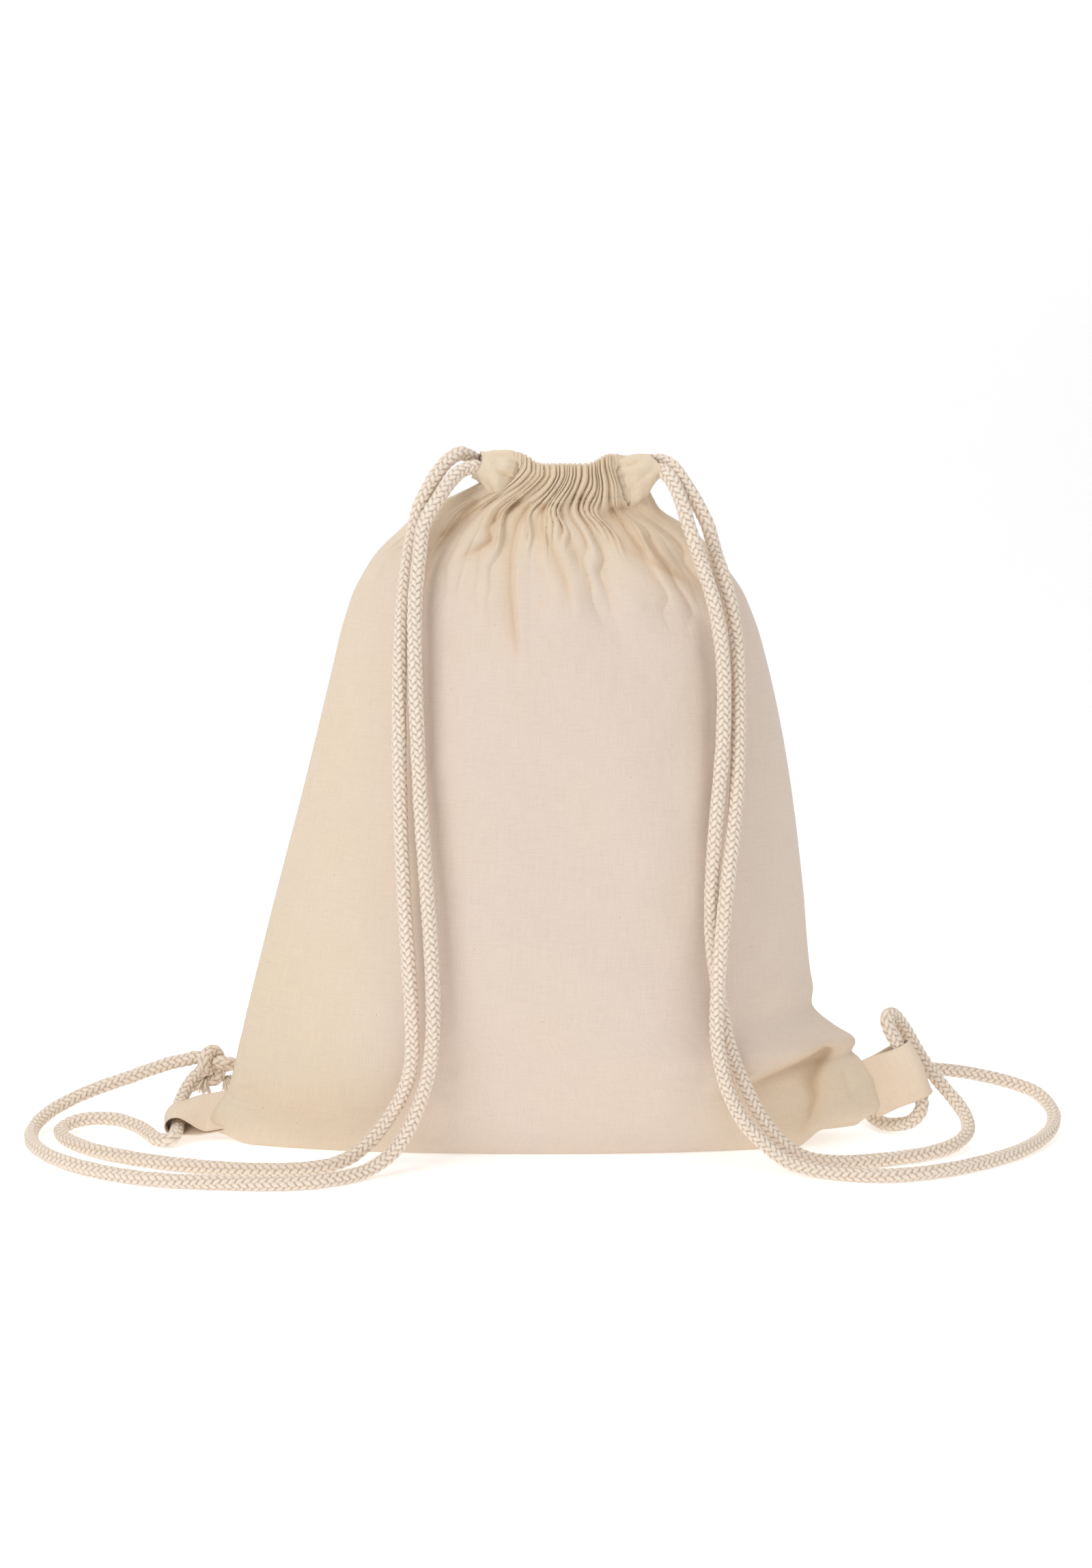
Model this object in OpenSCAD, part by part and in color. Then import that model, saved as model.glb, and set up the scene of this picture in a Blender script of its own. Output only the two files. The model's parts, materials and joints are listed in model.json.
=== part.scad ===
// Drawstring backpack: a cotton sack gathered at the neck by two braided cords, which are also its straps.
// Each cord runs through the hem of both lips and leaves at one side. Both its strands come back to a fabric
// tab at the bottom corner, where they are knotted. The filled bag stands at z = 0, strap side facing -Y.
// A cord is one flexible length. Here it is divided where it moves: its runs in the hems, and its strands.

/* [Bag] */
// Half of the sewn base's width
base_half_w = 178; // [172:1:184]
// Height where the panels end and the hems begin
neck_z = 346; // [342:1:348]
// How far the filled bag bulges to the front and to the back
bulge = 66; // [58:1:72]
// Half of the depth that stands on the floor
base_depth = 32; // [26:1:40]
// Thickness of the cotton
cloth = 1.0; // [0.8:0.1:1.2]
// Width of the seam allowance inside the bag
allowance_w = 9; // [7:1:11]

/* [Neck] */
// Middle of the gathered neck, which leans to one side of the base
neck_x = 15; // [12:1:18]
// Half of the gathered hem's width
hem_half_w = 32; // [31:1:34]
// Height of the hem
hem_h = 23; // [22:1:25]
// Clear gap between the two lips of the mouth
mouth_gap = 5; // [4.5:0.5:6]
// Number of pleats drawn into each hem
pleats = 15; // [11:2:19]
// How far a pleat stands out
pleat_depth = 1.8; // [1:0.1:2.2]
// Length of the smooth sleeve at each end of the hem
sleeve_l = 12; // [10:1:13]

/* [Cord] */
// Diameter of the braided cord
cord_d = 7.5; // [7:0.1:7.8]
// Length of each run of cord inside a hem
run_l = 34; // [30:1:36]
// How far each run slides through the hem as the mouth opens
run_travel = 18; // [14:1:18]

/* [Tabs] */
// Width of the folded tab, along the cord that passes through it
tab_w = 32; // [28:1:34]
// How far the tab stands out from the seam
tab_l = 24; // [22:1:28]
// Clear height inside the folded tab
tab_eye = 9.5; // [9:0.1:11]

/* [Hidden] */

cord_r = cord_d / 2;
canvas = [0.90, 0.84, 0.76];
tape = [0.88, 0.80, 0.69];
cotton_cord = [0.88, 0.84, 0.78];
thread = [0.93, 0.89, 0.82];
thread_r = 0.5;
cord_sides = 10;
steps_per_span = 2;      // sections of a cord from one guide point to the next
across = 36;             // sections across a panel
fall = 16;               // sections up a panel

// ---- Curves ----

function unit(v) = v / norm(v);
function catmull(a, b, c, d, t) =
    0.5 * (2 * b + (c - a) * t + (2 * a - 5 * b + 4 * c - d) * t * t + (3 * b - a - 3 * c + d) * t * t * t);
// A smooth path through guide points
function spline(p, n = steps_per_span) = concat(
    [for (i = [0 : len(p) - 2], k = [0 : n - 1])
        catmull(p[max(i - 1, 0)], p[i], p[i + 1], p[min(i + 2, len(p) - 1)], k / n)],
    [p[len(p) - 1]]);
// The value at height z of a smooth curve through [height, value] pairs
function rise(table, i) =
    let (a = table[max(i - 1, 0)], b = table[min(i + 1, len(table) - 1)]) (b[1] - a[1]) / (b[0] - a[0]);
function span_of(table, z, i = 0) = i >= len(table) - 2 || z < table[i + 1][0] ? i : span_of(table, z, i + 1);
function smooth(table, z) =
    let (i = span_of(table, z), a = table[i], b = table[i + 1], h = b[0] - a[0],
         t = max(0, min(1, (z - a[0]) / h)), t2 = t * t, t3 = t2 * t)
    a[1] * (2 * t3 - 3 * t2 + 1) + rise(table, i) * h * (t3 - 2 * t2 + t)
    + b[1] * (3 * t2 - 2 * t3) + rise(table, i + 1) * h * (t3 - t2);

// ---- Bag outline: distance of each side seam from the middle, and bulge, at heights up the bag ----

left_edge = [[0, base_half_w], [60, base_half_w - 14], [130, 146], [200, 127], [255, 113], [300, 101],
    [325, 87], [neck_z, 63]];
right_edge = [[0, base_half_w - 4], [18, base_half_w + 9], [45, base_half_w], [64, 161], [86, 150],
    [140, 144], [200, 136], [255, 125], [300, 111], [325, 93], [neck_z, 73]];
depth = [[0, base_depth], [40, 0.78 * bulge], [100, bulge], [180, 0.98 * bulge], [250, 0.84 * bulge],
    [300, 0.60 * bulge], [330, 0.33 * bulge], [neck_z, 12]];
// Share of the bulge across the bag, from side seam (u = -1) to side seam (u = 1)
function fullness(u) = pow(max(0, 1 - pow(abs(u), 2.4)), 0.75);
// Stations up a panel: [share of the depth, height]. The first ones lie on the floor.
stations = concat([[0, 0], [0.45, 0], [0.8, 0], [0.95, 3], [1, 10]],
    [for (i = [1 : fall]) [1, 10 + (neck_z - 10) * i / fall]]);

// Pleats open from the gathered rim and fade out below it
pleat_fade_z = 285;
rim_pleat = 2.2;
function pleat(i, z) =
    (i % 2 == 0 ? 1 : -1) * rim_pleat * pow(max(0, (z - pleat_fade_z) / (neck_z - pleat_fade_z)), 1.5);

function across_bag(u, z) = (smooth(right_edge, z) * (1 + u) - smooth(left_edge, z) * (1 - u)) / 2;
function u_at(x, z) =
    let (left = -smooth(left_edge, z), right = smooth(right_edge, z)) 2 * (x - left) / (right - left) - 1;
function bulge_at(u, z) = smooth(depth, z) * fullness(u) + 1.2;
function panel_u(i) = sin(90 * (2 * i / across - 1));
function panel_point(i, s) =
    let (u = panel_u(i), z = s[1])
    [across_bag(u, z), -(0.4 + s[0] * (bulge_at(u, z) + fullness(u) * pleat(i, z))), z];

// Outward normals of a grid of points, from its neighbours
function grid_normal(g, i, j) =
    let (a = g[min(i + 1, len(g) - 1)][j] - g[max(i - 1, 0)][j],
         b = g[i][min(j + 1, len(g[0]) - 1)] - g[i][max(j - 1, 0)])
    unit(cross(b, a));

// A sheet of cloth: a grid of points and the same grid moved in by the cloth's thickness
module sheet(outer, t) {
    rows = len(outer);
    cols = len(outer[0]);
    n = rows * cols;
    points = concat(
        [for (i = [0 : rows - 1], j = [0 : cols - 1]) outer[i][j]],
        [for (i = [0 : rows - 1], j = [0 : cols - 1])
            outer[i][j] - t * grid_normal(outer, i, j)]);
    function at(i, j, side) = side * n + i * cols + j;
    skin = [for (i = [0 : rows - 2], j = [0 : cols - 2]) each [
        [at(i, j, 0), at(i + 1, j, 0), at(i + 1, j + 1, 0)],
        [at(i, j, 0), at(i + 1, j + 1, 0), at(i, j + 1, 0)]]];
    lining = [for (f = skin) [f[0] + n, f[2] + n, f[1] + n]];
    rim_rows = [for (j = [0 : cols - 2]) each [
        [at(0, j, 0), at(0, j + 1, 0), at(0, j + 1, 1)], [at(0, j, 0), at(0, j + 1, 1), at(0, j, 1)],
        [at(rows - 1, j, 0), at(rows - 1, j, 1), at(rows - 1, j + 1, 1)],
        [at(rows - 1, j, 0), at(rows - 1, j + 1, 1), at(rows - 1, j + 1, 0)]]];
    rim_cols = [for (i = [0 : rows - 2]) each [
        [at(i, 0, 0), at(i, 0, 1), at(i + 1, 0, 1)], [at(i, 0, 0), at(i + 1, 0, 1), at(i + 1, 0, 0)],
        [at(i, cols - 1, 0), at(i + 1, cols - 1, 0), at(i + 1, cols - 1, 1)],
        [at(i, cols - 1, 0), at(i + 1, cols - 1, 1), at(i, cols - 1, 1)]]];
    polyhedron(points, concat(skin, lining, rim_rows, rim_cols), convexity = 10);
}

module panel() {
    sheet([for (s = stations) [for (i = [0 : across]) panel_point(i, s)]], cloth);
}

// ---- Round cord along a path ----

function tangent(p, i) = unit(p[min(i + 1, len(p) - 1)] - p[max(i - 1, 0)]);
function square_to(v, t) = unit(v - (v * t) * t);
function any_normal(t) = square_to(abs(t[0]) < 0.8 ? [1, 0, 0] : [0, 1, 0], t);
// Normals that turn as little as possible along the path
function normals(p) =
    [for (i = 0, n = any_normal(tangent(p, 0)); i < len(p);
        i = i + 1, n = i < len(p) ? square_to(n, tangent(p, i)) : n) n];

module cord(guide, r = cord_r, sides = cord_sides, steps = steps_per_span) {
    p = spline(guide, steps);
    ns = normals(p);
    points = [for (i = [0 : len(p) - 1], k = [0 : sides - 1])
        p[i] + r * (cos(360 * k / sides) * ns[i] + sin(360 * k / sides) * cross(tangent(p, i), ns[i]))];
    last = (len(p) - 1) * sides;
    start_cap = [for (k = [0 : sides - 1]) k];
    end_cap = [for (k = [0 : sides - 1]) last + sides - 1 - k];
    walls = [for (i = [0 : len(p) - 2], k = [0 : sides - 1])
        let (a = i * sides + k, b = i * sides + (k + 1) % sides)
        each [[a, a + sides, b + sides], [a, b + sides, b]]];
    polyhedron(points, concat([start_cap], walls, [end_cap]), convexity = 10);
}

// ---- Hem and sleeve places ----

hem_wall = 1.0;
tunnel_r = cord_r + 0.4;
run_pitch = cord_d + 1;
hem_z = neck_z + 4;
tunnel_z = hem_z + hem_h / 2;
tunnel_y = mouth_gap / 2 + hem_wall + tunnel_r;
hem_front = mouth_gap / 2 + 2 * (hem_wall + tunnel_r);
sleeve_lean = 72;        // angle of a sleeve from upright
sleeve_r = 10;
sleeve_spread = 7;       // half of the distance between the sleeve's two lobes
function sleeve_at(side) = [neck_x + side * (hem_half_w + 4), 0, tunnel_z + 3];
function sleeve_way(side) = [side * sin(sleeve_lean), 0, cos(sleeve_lean)];
function sleeve_mouth(side) = sleeve_at(side) + sleeve_l * sleeve_way(side);

// ---- Guide points of the strands: out of the sleeve, down the front, along the floor, to tab and knot ----

// A strand that hangs before the front panel, from its [x, z, gap to the cloth]
function in_front(q) = [for (p = q) [p[0], -(0.4 + bulge_at(u_at(p[0], p[1]), p[1])) - cord_r - p[2], p[1]]];
function out_of_sleeve(side, q) = [for (p = q) sleeve_mouth(side) + p];

left_knot_at = [-184, 36, 32];
right_knot_at = [184, 46, 21];
left_outer_guide = concat(
    out_of_sleeve(-1, [[5, 5, -1], [-1, 3, 4], [-9, -4, 8], [-17, -12, 3], [-24, -18, -7], [-30, -22, -19]]),
    in_front([[-67, 330, 8], [-70, 308, 6], [-72, 270, 8], [-72, 220, 8], [-70, 160, 8], [-67, 108, 8],
        [-66, 73, 9]]),
    [[-69, -64, 52], [-76, -59, 35], [-87, -57, 19], [-101, -61, 8], [-122, -66, 4], [-160, -67, 4],
        [-204, -54, 4], [-237, -36, 4], [-259, -14, 4], [-265, 4, 5], [-254, 14, 7], [-236, 13, 7],
        [-220, 2, 5], [-211, -12, 4], [-202, -18, 5], [-199.7, -9.6, 6.6], [-201, 6, 9.5], [-202.5, 22, 12.6],
        [-200, 30, 19], [-195, 33, 26], [-190, 33, 30]]);
left_inner_guide = concat(
    out_of_sleeve(-1, [[5, -6, -2], [-2, -8, 1], [-10, -14, -2], [-16, -21, -9], [-22, -27, -18],
        [-28, -31, -30]]),
    in_front([[-62, 324, 14], [-64, 303, 12], [-64, 275, 10], [-63, 240, 8], [-60, 185, 8], [-56, 130, 8],
        [-55, 85, 9]]),
    [[-58, -68, 56], [-65, -65, 34], [-75, -65, 15], [-90, -72, 5], [-110, -85, 4], [-140, -91, 4],
        [-200, -84, 4], [-246, -60, 4], [-274, -26, 4], [-280, 2, 6], [-272, 22, 11], [-254, 33, 18],
        [-232, 37, 25], [-211, 39, 32], [-193, 38, 36]]);
right_outer_guide = concat(
    out_of_sleeve(1, [[-5, 5, 0], [1, 3, 4], [8, -3, 1], [14, -9, -7], [20, -14, -17], [26, -18, -29]]),
    in_front([[93, 324, 9], [99, 304, 9], [103, 280, 8], [104, 250, 8], [103, 210, 9], [100, 175, 11],
        [96, 142, 14], [94, 118, 14], [93, 98, 12], [93, 75, 11]]),
    [[96, -63, 56], [101, -63, 41], [109, -64, 27], [120, -65, 16], [134, -68, 7], [158, -74, 4],
        [186, -77, 4], [220, -65, 4], [256, -38, 4], [279, -8, 5], [288, 18, 9], [282, 40, 15], [264, 52, 19],
        [240, 56, 23], [216, 55, 25], [194, 50, 24]]);
right_inner_guide = concat(
    out_of_sleeve(1, [[-5, -6, -2], [2, -8, -1], [8, -14, -7], [12, -21, -17], [15, -26, -27],
        [18, -29, -36]]),
    in_front([[84, 322, 14], [90, 303, 13], [94, 283, 11], [96, 257, 9], [95, 225, 8], [92, 190, 6],
        [90, 158, 4], [90, 130, 3.5], [93, 104, 3.5], [98, 76, 4.5]]),
    [[103, -51, 59], [109, -52, 45], [116, -53, 31], [125, -55, 19], [137, -57, 9], [152, -57, 5],
        [174, -53, 4], [202, -43, 4], [222, -31, 5], [234, -15, 8], [235, 0, 14], [227, 10, 24],
        [217, 13, 36], [208, 13, 50], [201, 11, 62], [195, 7, 69], [191, 1, 68], [193, -1, 61], [197, -1, 54],
        [204, -1, 39.5], [210, -1, 27], [211, 0, 17], [205.5, 4, 8.5], [196, 10, 5], [189, 19, 5],
        [186, 30, 8], [187, 39, 14]]);

// ---- Folded fabric tab at a bottom corner ----

// Outline of the folded tape, pinched at the seam and round at the fold
function fold_outline(l, r, seam_half) = concat(
    [[0, -seam_half]],
    [for (a = [-80 : 10 : 80]) [l - r + r * cos(a), r * sin(a)]],
    [[0, seam_half]]);

// The tab stands out along +X of its own frame, and the cord passes along its Z
module tab_shape() {
    difference() {
        linear_extrude(tab_w, center = true) polygon(fold_outline(tab_l, tab_eye / 2 + cloth, cloth + 0.6));
        linear_extrude(tab_w + 2, center = true)
            translate([3, 0]) polygon(fold_outline(tab_l - 3 - cloth, tab_eye / 2, 0.6));
    }
}
module tab_thread_shape() {
    for (x = [1.2, 2.4]) translate([x, 0, 0]) cylinder(h = tab_w - 4, r = thread_r, center = true, $fn = 16);
}
// Columns are the outward, upright and cord directions of a tab
module tab_frame(at, out, along) {
    x = unit(out);
    z = square_to(along, x);
    y = cross(z, x);
    multmatrix([[x[0], y[0], z[0], at[0]], [x[1], y[1], z[1], at[1]], [x[2], y[2], z[2], at[2]]]) children();
}
left_tab_at = [-183, 7, 12.5];
right_tab_at = [188, -1, 31.5];
module left_tab_frame() { tab_frame(left_tab_at, [-0.97, -0.05, -0.16], [0.05, 0.97, 0.2]) children(); }
module right_tab_frame() { tab_frame(right_tab_at, [0.9, 0, 0.435], [-0.435, 0, 0.9]) children(); }

// ---- Hems ----

// A round bar along X, which also bores the round holes
module bar(l, r, sides = 48) { rotate([0, 90, 0]) cylinder(h = l, r = r, center = true, $fn = sides); }
// The slot that both cords pass through, one above the other in the hem
module tunnel(l) {
    for (side = [-1, 1]) translate([0, 0, side * run_pitch / 2]) bar(l, tunnel_r);
    cube([l, 2 * tunnel_r, run_pitch], center = true);
}
module hem() {
    pleat_step = 2 * hem_half_w / pleats;
    outline = concat(
        [[-hem_half_w, -mouth_gap / 2], [hem_half_w, -mouth_gap / 2]],
        [for (i = [4 * pleats : -1 : 0])
            [-hem_half_w + i * pleat_step / 4, -hem_front - pleat_depth * abs(sin(45 * i))]]);
    translate([neck_x, 0, 0]) difference() {
        translate([0, 0, hem_z]) linear_extrude(hem_h) polygon(outline);
        translate([0, -tunnel_y, tunnel_z]) tunnel(2 * hem_half_w + 2);
    }
}
module hem_thread() {
    translate([neck_x, -hem_front - 0.2, hem_z + 2]) bar(2 * hem_half_w - 2, thread_r, 16);
}
// One run of cord inside a hem: side -1 belongs to the left cord, 1 to the right cord
module run(side) {
    level = tunnel_z + (side < 0 ? 1 : -1) * run_pitch / 2;
    middle = neck_x + side * run_travel / 2;
    translate([middle, -tunnel_y, level]) bar(run_l, cord_r);
}
// The smooth end of the hem, where both strands of a cord come out
module sleeve_solid(r, l) {
    for (y = [-sleeve_spread, sleeve_spread]) translate([0, y, 0]) cylinder(h = l, r = r, $fn = 48);
    translate([-r, -sleeve_spread, 0]) cube([2 * r, 2 * sleeve_spread, l]);
}
module hem_sleeve(side) {
    translate(sleeve_at(side)) rotate([0, side * sleeve_lean, 0]) difference() {
        sleeve_solid(sleeve_r, sleeve_l);
        translate([0, 0, -1]) sleeve_solid(sleeve_r - cloth, sleeve_l + 2);
    }
}

// ---- Seams ----

seam_low = 14;
seam_high = 292;
seam_inset = 4;          // from the side seam to the allowance's near edge
allowance_t = 1.2 * cloth;
allowance_z = cloth + 1 + allowance_w / 2;
function seam_heights(ends, n) =
    [for (i = [0 : n]) seam_low + ends + (seam_high - seam_low - 2 * ends) * i / n];
// A strip of doubled cloth just inside a side seam
module seam_allowance(table, side) {
    near = seam_inset;
    far = seam_inset + allowance_w;
    columns = side > 0 ? [far, near] : [near, far];
    sheet([for (z = seam_heights(0, 14)) [for (x = columns)
        [side * (smooth(table, z) - x), -allowance_t / 2, z]]], allowance_t);
}
module seam_thread(table, side) {
    inset = seam_inset + allowance_w / 2;
    cord([for (z = seam_heights(4, 8)) [side * (smooth(table, z) - inset), 0, z]], thread_r, 8, 2);
}
module bottom_allowance() {
    translate([0, 0, allowance_z]) cube([2 * base_half_w - 40, allowance_t, allowance_w], center = true);
}
module bottom_thread() { translate([0, 0, allowance_z]) bar(2 * base_half_w - 46, thread_r, 16); }

// ---- Knots ----

module knot(turn) {
    rotate(turn) {
        rotate_extrude($fn = 48) translate([6.5, 0]) circle(r = 4.2, $fn = 24);
        cylinder(h = 13, r = cord_r, center = true, $fn = 32);
    }
}
// The two cut ends that stick out of a knot, side by side
module cord_ends() {
    for (side = [-1, 1]) rotate([180, side * 12, 0]) translate([side * (cord_r + 0.4), 0, 7])
        cylinder(h = 9, r = cord_r - 0.2, $fn = 32);
}

// ---- The nodes ----

module front_panel() { color(canvas) panel(); }
module back_panel() { color(canvas) mirror([0, 1, 0]) panel(); }
module bottom_seam_allowance() { color(canvas) bottom_allowance(); }
module bottom_seam_thread() { color(thread) bottom_thread(); }
module left_seam_allowance() { color(canvas) seam_allowance(left_edge, -1); }
module right_seam_allowance() { color(canvas) seam_allowance(right_edge, 1); }
module left_seam_thread() { color(thread) seam_thread(left_edge, -1); }
module right_seam_thread() { color(thread) seam_thread(right_edge, 1); }
module front_hem() { color(canvas) hem(); }
module back_hem() { color(canvas) mirror([0, 1, 0]) hem(); }
module front_hem_thread() { color(thread) hem_thread(); }
module back_hem_thread() { color(thread) mirror([0, 1, 0]) hem_thread(); }
module left_hem_sleeve() { color(canvas) hem_sleeve(-1); }
module right_hem_sleeve() { color(canvas) hem_sleeve(1); }
module left_cord_front_run() { color(cotton_cord) run(-1); }
module left_cord_back_run() { color(cotton_cord) mirror([0, 1, 0]) run(-1); }
module right_cord_front_run() { color(cotton_cord) run(1); }
module right_cord_back_run() { color(cotton_cord) mirror([0, 1, 0]) run(1); }
module left_outer_strap() { color(cotton_cord) cord(left_outer_guide); }
module left_inner_strap() { color(cotton_cord) cord(left_inner_guide); }
module right_outer_strap() { color(cotton_cord) cord(right_outer_guide); }
module right_inner_strap() { color(cotton_cord) cord(right_inner_guide); }
module left_knot() { color(cotton_cord) translate(left_knot_at) knot([70, 20, 0]); }
module right_knot() { color(cotton_cord) translate(right_knot_at) knot([60, -20, 0]); }
module left_cord_ends() { color(cotton_cord) translate(left_knot_at) cord_ends(); }
module right_cord_ends() { color(cotton_cord) translate(right_knot_at) rotate([110, 0, 0]) cord_ends(); }
module left_tab() { color(tape) left_tab_frame() tab_shape(); }
module right_tab() { color(tape) right_tab_frame() tab_shape(); }
module left_tab_thread() { color(thread) left_tab_frame() tab_thread_shape(); }
module right_tab_thread() { color(thread) right_tab_frame() tab_thread_shape(); }

front_panel();
back_panel();
left_seam_allowance();
right_seam_allowance();
bottom_seam_allowance();
left_seam_thread();
right_seam_thread();
bottom_seam_thread();
front_hem();
back_hem();
front_hem_thread();
back_hem_thread();
left_hem_sleeve();
right_hem_sleeve();
left_cord_front_run();
left_cord_back_run();
right_cord_front_run();
right_cord_back_run();
left_outer_strap();
left_inner_strap();
right_outer_strap();
right_inner_strap();
left_knot();
right_knot();
left_cord_ends();
right_cord_ends();
left_tab();
right_tab();
left_tab_thread();
right_tab_thread();
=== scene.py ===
import json
import math

import bmesh
import bpy
import numpy as np
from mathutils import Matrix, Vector
from mathutils.bvhtree import BVHTree


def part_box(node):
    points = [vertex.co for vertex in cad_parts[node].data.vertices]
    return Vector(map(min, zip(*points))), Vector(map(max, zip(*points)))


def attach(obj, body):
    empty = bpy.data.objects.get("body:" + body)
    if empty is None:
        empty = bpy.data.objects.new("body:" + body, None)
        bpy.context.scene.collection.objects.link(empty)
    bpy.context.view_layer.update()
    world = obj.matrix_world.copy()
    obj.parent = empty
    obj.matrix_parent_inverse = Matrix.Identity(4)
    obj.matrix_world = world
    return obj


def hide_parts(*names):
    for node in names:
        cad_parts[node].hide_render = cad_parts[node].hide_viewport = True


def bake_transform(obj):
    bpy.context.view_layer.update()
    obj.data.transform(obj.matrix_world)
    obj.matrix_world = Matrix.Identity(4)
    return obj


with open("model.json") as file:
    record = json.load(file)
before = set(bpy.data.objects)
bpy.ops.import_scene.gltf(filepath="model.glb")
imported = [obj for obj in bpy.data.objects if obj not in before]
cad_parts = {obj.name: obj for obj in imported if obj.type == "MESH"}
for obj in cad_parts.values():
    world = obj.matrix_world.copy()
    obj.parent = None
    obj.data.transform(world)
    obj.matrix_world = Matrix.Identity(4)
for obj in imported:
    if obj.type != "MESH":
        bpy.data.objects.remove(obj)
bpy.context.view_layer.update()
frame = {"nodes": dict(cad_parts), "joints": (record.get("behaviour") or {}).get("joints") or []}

# All shapes are worked out in millimetres and turned into metres when a mesh is made.
MM = 0.001
CORD_R = 3.75
CLOTH = 0.7              # thickness of the shown cotton
TAPE = 1.3               # thickness of the folded tape


# ---------------------------------------------------------------- measuring the frame

def box_mm(node):
    low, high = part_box(node)
    return np.array(low) / MM, np.array(high) / MM


def joint(name):
    return next(j for j in frame["joints"] if j["name"] == name)


def tree_of(node):
    return BVHTree.FromObject(frame["nodes"][node], bpy.context.evaluated_depsgraph_get())


def smoothstep(t):
    t = np.clip(t, 0.0, 1.0)
    return t * t * (3 - 2 * t)


def soften(values, passes):
    """Evens out a row of measurements."""
    for _ in range(passes):
        padded = np.concatenate([values[:1], values, values[-1:]])
        values = (padded[:-2] + 2 * padded[1:-1] + padded[2:]) / 4
    return values


HEM_LOW, HEM_HIGH = box_mm("front_hem")
NECK_X = (HEM_LOW[0] + HEM_HIGH[0]) / 2
HEM_HALF = (HEM_HIGH[0] - HEM_LOW[0]) / 2
HEM_FRONT = -HEM_LOW[1] - 0.8
LIP_BACK = -HEM_HIGH[1] + 0.4
NECK_Z = box_mm("front_panel")[1][2]
SLEEVE_LEAN = math.radians(72)
SLEEVE_LENGTH = 12.0


def measure_bag():
    """Left edge, right edge and depth of the CAD front panel at a series of heights."""
    tree = tree_of("front_panel")
    heights = np.concatenate([np.linspace(0.6, 60, 34), np.linspace(62, NECK_Z - 0.5, 80)])
    left, right, depth = [], [], []
    for z in heights:
        edge = [tree.ray_cast(Vector((side * 0.4, -0.002, z * MM)), Vector((-side, 0, 0)))[0]
                for side in (-1, 1)]
        left.append(edge[0].x / MM)
        right.append(edge[1].x / MM)
        middle = (left[-1] + right[-1]) / 2
        reach = 0.06 * (right[-1] - left[-1])
        hits = [tree.ray_cast(Vector(((middle + k * reach) * MM, -0.3, z * MM)), Vector((0, 1, 0)))[0]
                for k in (-1, -0.5, 0, 0.5, 1)]
        depth.append(-np.mean([h.y for h in hits if h]) / MM)
    return heights, soften(np.array(left), 2), soften(np.array(right), 2), soften(np.array(depth), 4)


HEIGHTS, LEFT, RIGHT, DEPTH = measure_bag()
# Above the panel the cloth draws in to the hem and the sleeves
NECK_HEIGHTS = np.concatenate([HEIGHTS, NECK_Z + np.array([4.0, 9.0, 15.0, 21.0, 28.0])])
NECK_LEFT = np.concatenate([LEFT, NECK_X - HEM_HALF - np.array([38.0, 26.0, 13.0, 4.0, 1.0])])
NECK_RIGHT = np.concatenate([RIGHT, NECK_X + HEM_HALF + np.array([18.0, 14.0, 9.0, 4.0, 1.0])])
NECK_DEPTH = np.concatenate([DEPTH, np.full(5, HEM_FRONT)])


def along_height(z, values):
    """A measurement at a height, evened out where the cloth draws in to the neck."""
    blur = 6 * smoothstep((z - 300) / 40)
    return sum(np.interp(z + k * blur, NECK_HEIGHTS, values) for k in (-1, -0.5, 0, 0.5, 1)) / 5


def edges(z):
    """Left and right edge of the cloth at a height.

    At the right corner a flap curls over the part that the tab pulls out, and the shoulder under the right
    sleeve is drawn in. At the left the corner spreads over its tab.
    """
    def hump(middle, reach):
        return np.exp(-((z - middle) / reach) ** 2)
    curl = 5.5 * hump(58, 5.5) - 4.5 * hump(76, 8) - 2 * hump(50, 2.5)
    pull = 6.5 * hump(13, 11) - 6.5 * hump(346, 8)
    spread = 6 * hump(9, 11)
    return along_height(z, NECK_LEFT) - spread, along_height(z, NECK_RIGHT) + curl + pull


def corner_lift(x, z):
    """How far the tabs pull the bottom corners up off the floor."""
    right, left = 8.5 * smoothstep((x - 141) / 15), 4.5 * smoothstep((-158 - x) / 20)
    return (right + left) * np.clip(1 - z / 50, 0, 1)


def depth_at(z):
    return along_height(z, NECK_DEPTH)


def round_ends(mesh):
    """Rims of a CAD cord's two flat ends."""
    work = bmesh.new()
    work.from_mesh(mesh)
    bmesh.ops.remove_doubles(work, verts=work.verts, dist=1e-6)
    bmesh.ops.dissolve_limit(work, angle_limit=0.01, verts=work.verts, edges=work.edges)
    rims = [np.array([v.co for v in face.verts]) / MM for face in work.faces if len(face.verts) > 7]
    work.free()
    spread = [np.ptp(np.linalg.norm(rim - rim.mean(0), axis=1)) for rim in rims]
    return [rims[i] for i in np.argsort(spread)[:2]]


def centreline(node, first):
    """Ring centres along a CAD cord, starting at the end with the greater value of first(point)."""
    mesh = frame["nodes"][node].data
    co = np.array([v.co for v in mesh.vertices]) / MM
    keys, index = np.unique(np.round(co, 2), axis=0, return_inverse=True)
    index = np.asarray(index).ravel()
    mesh.calc_loop_triangles()
    near = [set() for _ in keys]
    for tri in mesh.loop_triangles:
        a, b, c = (int(index[v]) for v in tri.vertices)
        near[a] |= {b, c}
        near[b] |= {a, c}
        near[c] |= {a, b}
    start = max(round_ends(mesh), key=lambda rim: first(rim.mean(0)))
    ring = {int(np.argmin(np.linalg.norm(keys - point, axis=1))) for point in start}
    seen, centres = set(), []
    while ring:
        centres.append(keys[list(ring)].mean(0))
        seen |= ring
        ring = {n for v in ring for n in near[v]} - seen
    return np.array(centres)


# ---------------------------------------------------------------- mesh tools

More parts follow.
